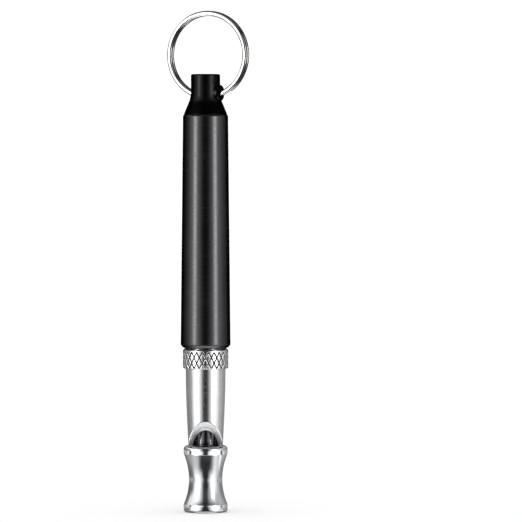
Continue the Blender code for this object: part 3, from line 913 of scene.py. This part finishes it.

# %% [markdown]
# ### Polished chrome plate
# Chrome over buffed brass: nearly a mirror, faintly blue.  What tells it from a render's perfect
# mirror is the buffing, which leaves hair-fine lines round the piece, and the faint bloom that
# fingers and lips leave in soft patches.  The flat bands keep a sharper mirror than the waist,
# which a soft wheel has to follow, and the foot's edge is painted dark as shade where it stands.

# %% Polished chrome
chrome, tree, known = blank("polished_chrome_plate")
known["waist"] = add(tree, "Attribute", attribute_name="waist").outputs["Fac"]
known["height"] = add(tree, "SeparateXYZ", {"Vector": known["place"]}).outputs["Z"]
finish(
    chrome, known,
    noises={"buffing": ("place", (0.25, 0.25, 7), 3, 0.5), "bloom": ("place", 0.35, 4, 0.6)},
    ranges={
        "bloomed": ("bloom", 0.42, 0.72, 0.05, 0.11),
        "lined": ("buffing", 0.35, 0.75, 0, 0.05),
    },
    # the lowest half millimetre of the foot is painted dark, as the shade where it meets the floor
    masks={"foot_painted_shade": ("height", 0.55, 0.15, 0, 0.85)},
    rough=["bloomed", ("waist", 0.07), ("lined", 1)],
    tones=["#EEF0F2", ("bloomed", "#D2D6DA"), ("waist", "#DADCDE"), ("foot_painted_shade", "#3A3C3E")],
    relief=[("buffing", 0.05, 0.02)],
    shader={"Metallic": 1.0},
    worn_by=["mouthpiece"],
)

# %% [markdown]
# ### Satin turned aluminium
# Bare aluminium as the lathe left it, wiped with a fine abrasive.  The tool's feed leaves rings
# every 0.05 mm, too fine to show here, so they are drawn about five times as coarse.  Rings
# scatter light along the piece but hardly round it, so the gloss is stretched along the UV map's
# U axis.  The drilled bore is painted dark as shade, and the milled window is a little rougher.

# %% Satin aluminium
satin, tree, known = blank("satin_turned_aluminium")
known["kind"] = add(tree, "Attribute", attribute_name="cut_kind").outputs["Fac"]
along = add(tree, "Tangent", direction_type="UV_MAP", uv_map="surface")
finish(
    satin, known,
    noises={"rings": ("place", (0.12, 0.12, 4), 4, 0.65), "patches": ("place", 0.5, 5, 0.6)},
    ranges={
        "milled": ("kind", TURNED, MILLED, 0, 1),
        "bore_finish_and_painted_shade": ("kind", MILLED, BORED, 0, 1),
        "turned": ("rings", 0.3, 0.7, 0.19, 0.29),
    },
    rough=["turned", ("milled", 0.05), ("bore_finish_and_painted_shade", -0.12)],
    # the bore's dark tone is painted shade inside the tube
    tones=["#D6D7D9", ("patches", "#E9E9EA"), ("bore_finish_and_painted_shade", "#767678")],
    relief=[("rings", 0.12, 0.02)],
    shader={"Metallic": 1.0, "Anisotropic": 0.5, "Tangent": along},
    worn_by=["whistle_tube"],
)

# %% [markdown]
# ### Knurled aluminium
# The same bar, but pressed by the knurling wheels.  The tops of the diamonds are burnished bright
# by handling, while the grooves are rough and painted dark as shade, which draws the pattern as
# thin dark lines.  The piece's own groove depth, kept on its points, tells the finish where it is.

# %% Knurled aluminium
knurl, tree, known = blank("knurled_aluminium")
known["groove"] = add(tree, "Attribute", attribute_name="groove").outputs["Fac"]
finish(
    knurl, known,
    noises={"grain": ("place", 6, 4, 0.6)},
    ranges={"burnished": ("grain", 0.3, 0.7, 0.15, 0.24)},
    # the grooves are painted dark as shade, and made rougher
    masks={"groove_roughness_and_painted_shade": ("groove", 0.1, 0.55, 0, 1)},
    rough=["burnished", ("groove_roughness_and_painted_shade", 0.3)],
    tones=["#E2E2E3", ("groove_roughness_and_painted_shade", "#1E1D1C")],
    relief=[("grain", 0.08, 0.01)],
    shader={"Metallic": 1.0, "Specular Tint": linear("#7A7A7A")},
    worn_by=["knurled_collar"],
)

# %% [markdown]
# ### Black anodised aluminium
# The metal's skin is grown into a hard clear layer of aluminium oxide and dyed black.  What is
# left of the metal's gloss comes back through the dye, so it is a metal with a very dark colour.
# Light that meets it at a slant travels further in the dye and is lost, so the rims go darker
# still, where black paint would have bright rims.  Fine turning rings show through as a change
# of sheen, drawn several times as coarse as the real ones.

# %% Black anodising
anodised, _, known = blank("black_anodised_aluminium")
finish(
    anodised, known,
    noises={
        "rings": ("place", (0.1, 0.1, 3), 4, 0.6),
        "grain": ("place", 9, 3, 0.5),
        "handled": ("place", 0.16, 4, 0.55),
    },
    ranges={"ringed": ("rings", 0.3, 0.7, 0.20, 0.27), "rubbed": ("handled", 0.4, 0.7, 0, 0.05)},
    rough=["ringed", ("rubbed", 1)],
    tones=["#414142", ("handled", "#4A4A4C")],
    relief=[("rings", 0.08, 0.02), ("grain", 0.06, 0.01)],
    shader={"Metallic": 1.0, "Specular Tint": linear("#101010")},
    worn_by=["barrel_sleeve"],
)

# %% [markdown]
# ### Blasted black anodising
# The neck plug and its bush were bead-blasted before they were anodised.  The tiny dents spread
# the gloss out, so these pieces look darker and flatter than the sleeve beside them.  The cone
# under the neck is painted darker than the neck, as shade, which the piece's own height tells
# apart.

# %% Blasted anodising
blasted, tree, known = blank("blasted_black_anodised_aluminium")
known["height"] = add(tree, "SeparateXYZ", {"Vector": known["place"]}).outputs["Z"]
finish(
    blasted, known,
    noises={"dents": ("place", 5, 3, 0.55), "rubbed": ("place", 0.5, 4, 0.5)},
    ranges={"dulled": ("rubbed", 0.35, 0.7, 0.34, 0.24)},
    # the cone is painted darker than the neck, as shade on its upward slope
    masks={"cone": ("height", NECK_FOOT + 0.2, NECK_FOOT - 0.6, 0, 1)},
    rough=["dulled"],
    tones=["#1B1B1C", ("rubbed", "#232324"), ("cone", "#111112")],
    relief=[("dents", 0.12, 0.02)],
    shader={"Metallic": 1.0, "Specular Tint": linear("#202020")},
    worn_by=["neck_plug", "eye_bush"],
)

# %% [markdown]
# ### Nickel-plated spring steel
# Key rings are wound from drawn wire and barrel-plated in nickel, which is bright and a little
# warm.  Drawing and use both scratch along the wire, so the scratches follow the piece's own UV
# map.  The broad faces keep the bright nickel, while the narrow edges between the turns are
# painted dark as shade, and that is what draws each turn as its own line.  V runs once
# round the section, so the size of the cosine of its angle is near 1 on those narrow edges.

# %% Nickel plate
nickel, tree, known = blank("nickel_plated_spring_steel")
known["wire"] = add(tree, "TexCoord").outputs["UV"]
once_round = add(tree, "SeparateXYZ", {"Vector": known["wire"]}).outputs["Y"]
angle = add(tree, "Math", {0: once_round, 1: math.tau}, operation="MULTIPLY")
cosine = add(tree, "Math", {0: angle}, operation="COSINE")
known["sideways"] = add(tree, "Math", {0: cosine}, operation="ABSOLUTE")
finish(
    nickel, known,
    noises={"scratches": ("wire", (0.35, 26, 1), 4, 0.5), "tarnish": ("place", 0.6, 4, 0.5)},
    ranges={"scratched": ("scratches", 0.3, 0.75, 0.10, 0.20)},
    # the narrow edges of the wire are painted dark as shade
    masks={"edge_painted_shade": ("sideways", 0.70, 0.90, 0, 1)},
    rough=["scratched"],
    tones=["#E9E7E3", ("tarnish", "#D9D6D0"), ("edge_painted_shade", "#201F1E")],
    relief=[("scratches", 0.08, 0.02)],
    shader={"Metallic": 1.0},
    worn_by=["split_ring", "lock_washer"],
)

# %% [markdown]
# ### Machined brass
# Free-cutting brass straight from the lathe: a yellow metal with fine tool rings, and a brown
# bloom where it has been handled and has begun to tarnish.  One colour would look like paint, so
# the bloom is a second, browner tone that only the higher half of a noise brings in.

# %% Machined brass
brass, _, known = blank("machined_brass")
finish(
    brass, known,
    noises={"rings": ("place", (0.2, 0.2, 6), 4, 0.5), "bloom": ("place", 0.7, 6, 0.65)},
    ranges={
        "tarnished": ("bloom", 0.45, 0.75, 0, 0.7),
        "ringed": ("rings", 0.3, 0.7, 0.2, 0.34),
    },
    rough=["ringed"],
    tones=["#E6C77A", ("tarnished", "#B98A45")],
    relief=[("rings", 0.15, 0.02)],
    shader={"Metallic": 1.0},
    worn_by=["thread_bush", "piston", "tuning_rod", "thumb_knob", "lock_nut"],
)

# %% [markdown]
# ### Nitrile rubber and moulded plastic
# The seals are moulded nitrile rubber, matt black with a dusty bloom.  The fipple plug is moulded
# black plastic with a fine spark-eroded texture from its mould, whose round pits are closer to
# Voronoi cells than to noise.  One pattern drives tone, gloss and relief together on each.

# %% Rubber
rubber, _, known = blank("moulded_nitrile_rubber")
finish(
    rubber, known,
    noises={"dust": ("place", 3, 5, 0.7)},
    ranges={"dusty": ("dust", 0, 1, 0.5, 0.75)},
    rough=["dusty"],
    tones=["#0B0B0B", ("dust", "#1C1B1A")],
    relief=[("dust", 0.2, 0.02)],
    shader={"IOR": 1.52},
    worn_by=["barrel_seal", "piston_seal"],
)

# %% Plastic
plastic, tree, known = blank("moulded_black_plastic")
known["spark"] = add(tree, "TexVoronoi", {"Vector": known["place"], "Scale": 8.0})
finish(
    plastic, known,
    noises={},
    ranges={"pitted": ("spark", 0, 1, 0.34, 0.5)},
    rough=["pitted"],
    tones=["#101011", ("spark", "#1B1B1D")],
    relief=[("spark", 0.2, 0.01)],
    shader={"IOR": 1.53},
    worn_by=["fipple_plug"],
)

# %% [markdown]
# ## The studio
# Metal shows its surroundings, so a good picture of it is mostly a matter of what stands around
# it.  The floor is pale paper that lies flat under the whistle.  A room of real walls and lamps
# would reflect well but light slowly and with noise, so a sky stands in for it: plain white for
# whatever is matt, and a room painted by direction for whatever shines.

# %% The floor
FLOOR_SIZE = 1.6             # metres
corners = np.array([(-1, -1, 0), (1, -1, 0), (1, 1, 0), (-1, 1, 0)]) * FLOOR_SIZE / 2
floor_mesh = bpy.data.meshes.new("floor")
floor_mesh.from_pydata(corners.tolist(), [], [(0, 1, 2, 3)])
floor = bpy.data.objects.new("floor", floor_mesh)
bpy.context.scene.collection.objects.link(floor)
floor.visible_glossy = False
paper, tree, known = blank("pale_satin_paper")
fibre = add(tree, "TexNoise", {"Vector": known["place"], "Scale": 0.06, "Detail": 4.0})
tone = add(tree, "Mix", {
    "Factor": fibre, "A": linear("#F6F6F6"), "B": linear("#FAFAFA"),
}, data_type="RGBA")
matt = add(tree, "BsdfPrincipled", {
    "Base Color": tone, "Roughness": 0.5, "Specular IOR Level": 0.0,
})
add(tree, "OutputMaterial", {"Surface": matt})
floor_mesh.materials.append(paper)
print("the floor is", FLOOR_SIZE, "m across")

# %% [markdown]
# ### The room that metal reflects
# A plan gives the room's brightness all round at one height, and four plans are enough.  At the
# whistle's level two tall soft boxes stand left and right of the viewer with a dark gap between
# them, and the wall behind the whistle is dark, so every outline ends in a thin dark line.
# Above and far below, the walls are greyer and the gap wider or off to one side.  Just below the
# level, in a strip that only the upright mirror bands of the mouthpiece pick out, the feet of
# the boxes stand closer together.  Fades over the sine of the elevation lead from plan to plan,
# and overhead a ceiling and underfoot the pale ground close the room.

# %% Plans and fades
PEAK = 1.5                   # the boxes at their brightest, on a scale where white paper is 1
PLANS = {                    # degrees from the front towards +X, and a share of the peak
    "level": [
        (-180, 0.01), (-168, 0.01), (-155, 0.09), (-104, 0.10), (-94, 0.22), (-80, 0.75),
        (-68, 0.95), (-45, 0.90), (-32, 0.72), (-16, 0.01), (15, 0.01), (34, 0.68), (45, 0.92),
        (65, 0.90), (80, 0.62), (97, 0.36), (115, 0.20), (155, 0.16), (168, 0.01), (180, 0.01),
    ],
    "just_below": [
        (-180, 0.22), (-150, 0.26), (-121, 0.34), (-112, 0.52), (-96, 0.52), (-91, 0.03),
        (-83, 0.03), (-78, 0.80), (-25, 0.80), (-14, 0.42), (-9, 0.02), (9, 0.02), (18, 0.68),
        (25, 0.80), (83, 0.80), (87, 0.02), (96, 0.02), (100, 0.52), (111, 0.52), (120, 0.34),
        (150, 0.26), (180, 0.22),
    ],
    "far_below": [
        (-180, 0.26), (-138, 0.26), (-113, 0.28), (-92, 0.36), (-78, 0.50), (-62, 0.50),
        (-50, 0.40), (-40, 0.15), (-30, 0.01), (30, 0.01), (42, 0.12), (54, 0.52), (68, 0.78),
        (82, 0.52), (92, 0.55), (98, 0.95), (104, 0.95), (112, 0.36), (140, 0.32), (180, 0.26),
    ],
    "above": [
        (-180, 0.20), (-150, 0.26), (-125, 0.30), (-112, 0.70), (-60, 0.95), (-40, 0.80),
        (-28, 0.50), (-14, 0.04), (10, 0.02), (22, 0.28), (35, 0.48), (60, 0.50), (80, 0.36),
        (92, 0.42), (110, 0.34), (150, 0.28), (180, 0.20),
    ],
}
FADES = {                    # sine of the elevation: from, to, and the values at those two
    "boxes_end": (0.45, 0.68, 1.0, 0.0),
    "into_strip": (-0.105, -0.085, 0.0, 1.0),
    "out_of_strip": (-0.055, -0.040, 1.0, 0.0),
    "far_down": (-0.45, -0.13, 1.0, 0.0),
    "upward": (0.10, 0.32, 0.0, 1.0),
    "ceiling": (0.70, 0.76, 0.0, 0.30),
    "ceiling_end": (0.82, 0.90, 1.0, 0.6),
    "ground": (-0.90, -0.77, 2.0, 0.0),
}
STRAY_LIGHT = 0.012          # no corner of a real room is quite black
WHITE_ROOM = 1.10            # brightness of the sky for whatever is matt
print("the room has", len(PLANS), "plans and", len(FADES), "fades")

# %% The sky's two directions: round the whistle, and up
world = bpy.data.worlds.new("studio")
bpy.context.scene.world = world
world.use_nodes = True
world.cycles.sampling_method = "NONE"    # the sky differs by kind of ray, so rays find it
tree = world.node_tree
tree.nodes.clear()
direction = add(tree, "TexCoord").outputs["Generated"]
x, y, height = add(tree, "SeparateXYZ", {"Vector": direction}).outputs
front = add(tree, "Math", {0: y, 1: -1.0}, operation="MULTIPLY")
azimuth = add(tree, "Math", {0: x, 1: front}, operation="ARCTAN2")
FRONT = 0.5                  # where the front lies along a plan that runs from 0 to 1
round_share = add(tree, "Math", {0: azimuth, 1: 1 / math.tau, 2: FRONT}, operation="MULTIPLY_ADD")
plans, fades = {}, {}
for name, stops in PLANS.items():
    plans[name] = add(tree, "ValToRGB", {"Fac": round_share})
    ramp = plans[name].color_ramp.elements
    for degrees, _ in stops[1:-1]:
        ramp.new(degrees / 360 + FRONT)
    for stop, (_, share) in zip(ramp, stops):
        stop.color = (share, share, share, 1.0)
for name, (low, high, at_low, at_high) in FADES.items():
    fades[name] = add(tree, "MapRange", {
        "Value": height, "From Min": low, "From Max": high, "To Min": at_low, "To Max": at_high,
    }, interpolation_type="SMOOTHSTEP")
print("the front is", FRONT, "of the way along every plan")

# %% The sky, put together
strip = add(tree, "Math", {
    0: fades["into_strip"], 1: fades["out_of_strip"],
}, operation="MULTIPLY")
walls = plans["level"]
for share, plan in (
    (fades["far_down"], "far_below"), (fades["upward"], "above"), (strip, "just_below"),
):
    walls = add(tree, "Mix", {"Factor": share, "A": walls, "B": plans[plan]}, data_type="RGBA")
walls = add(tree, "Math", {0: walls, 1: fades["boxes_end"]}, operation="MULTIPLY")
ends = add(tree, "Math", {
    0: fades["ceiling"], 1: fades["ceiling_end"], 2: fades["ground"],
}, operation="MULTIPLY_ADD")
reflected = add(tree, "Math", {0: walls, 1: PEAK, 2: ends}, operation="MULTIPLY_ADD")
reflected = add(tree, "Math", {0: reflected, 1: STRAY_LIGHT}, operation="ADD")
white = linear("#FFFFFF")
seen_by_gloss = add(tree, "Background", {"Color": white, "Strength": reflected})
seen_by_rest = add(tree, "Background", {"Color": white, "Strength": WHITE_ROOM})
glossy = add(tree, "LightPath").outputs["Is Glossy Ray"]
choice = add(tree, "MixShader", {0: glossy, 1: seen_by_rest, 2: seen_by_gloss})
add(tree, "OutputWorld", {"Surface": choice})
print("the sky is made of", len(tree.nodes), "nodes")

# %% [markdown]
# ### Two soft boxes
# The painted room gives the broad gradients.  Two real area lights stand where its boxes are and
# add the bright cores that slide over the metal as it turns.  They light only what shines, and
# the even sky lights the floor by itself, so no hard shadow falls on the paper.

# %% Two soft boxes
BOX_WIDTH, BOX_HEIGHT, BOX_BELOW = 0.16, 0.34, 0.08      # metres; they reach below the floor
BOX_DISTANCE, BOX_POWER = 0.6, 1.1                       # metres from the whistle, and watts
for side, azimuth in (("left", -52), ("right", 49)):
    data = bpy.data.lights.new("soft_box_" + side, "AREA")
    data.shape = "RECTANGLE"
    data.size, data.size_y = BOX_WIDTH, BOX_HEIGHT
    data.energy = BOX_POWER
    lamp = bpy.data.objects.new("soft_box_" + side, data)
    bpy.context.scene.collection.objects.link(lamp)
    angle = math.radians(azimuth)
    lamp.location = (
        BOX_DISTANCE * math.sin(angle), -BOX_DISTANCE * math.cos(angle),
        BOX_HEIGHT / 2 - BOX_BELOW,
    )
    lamp.rotation_euler = (math.pi / 2, 0, angle)
    lamp.visible_camera = False
    lamp.visible_diffuse = False
    print("soft box", side, "stands", azimuth, "degrees round from the front")

# %% [markdown]
# ## The camera
# A long lens from almost level with the whistle keeps its sides parallel, as in a catalogue
# picture.  An orthographic camera would too, but a lens still narrows the far side a little, as
# the eye expects.  The whistle stands left of the middle.

# %% The camera
VIEW_WIDTH = 0.0989          # metres across the frame, at the whistle
VIEW_SIDE, VIEW_HEIGHT = 0.0105, 0.0476  # what the camera looks at, from the whistle's foot
DISTANCE, ELEVATION = 0.9, math.radians(1.5)
camera_data = bpy.data.cameras.new("camera")
camera_data.sensor_width = 36
camera_data.lens = camera_data.sensor_width * DISTANCE / VIEW_WIDTH
camera_data.clip_start, camera_data.clip_end = 0.01, 20
camera = bpy.data.objects.new("camera", camera_data)
bpy.context.scene.collection.objects.link(camera)
camera.location = (
    VIEW_SIDE, -DISTANCE * math.cos(ELEVATION), VIEW_HEIGHT + DISTANCE * math.sin(ELEVATION),
)
camera.rotation_euler = (math.pi / 2 - ELEVATION, 0, 0)
bpy.context.scene.camera = camera
bpy.context.scene.view_settings.view_transform = "Standard"
print("the lens is", round(camera_data.lens), "mm, on a camera", DISTANCE, "m away")
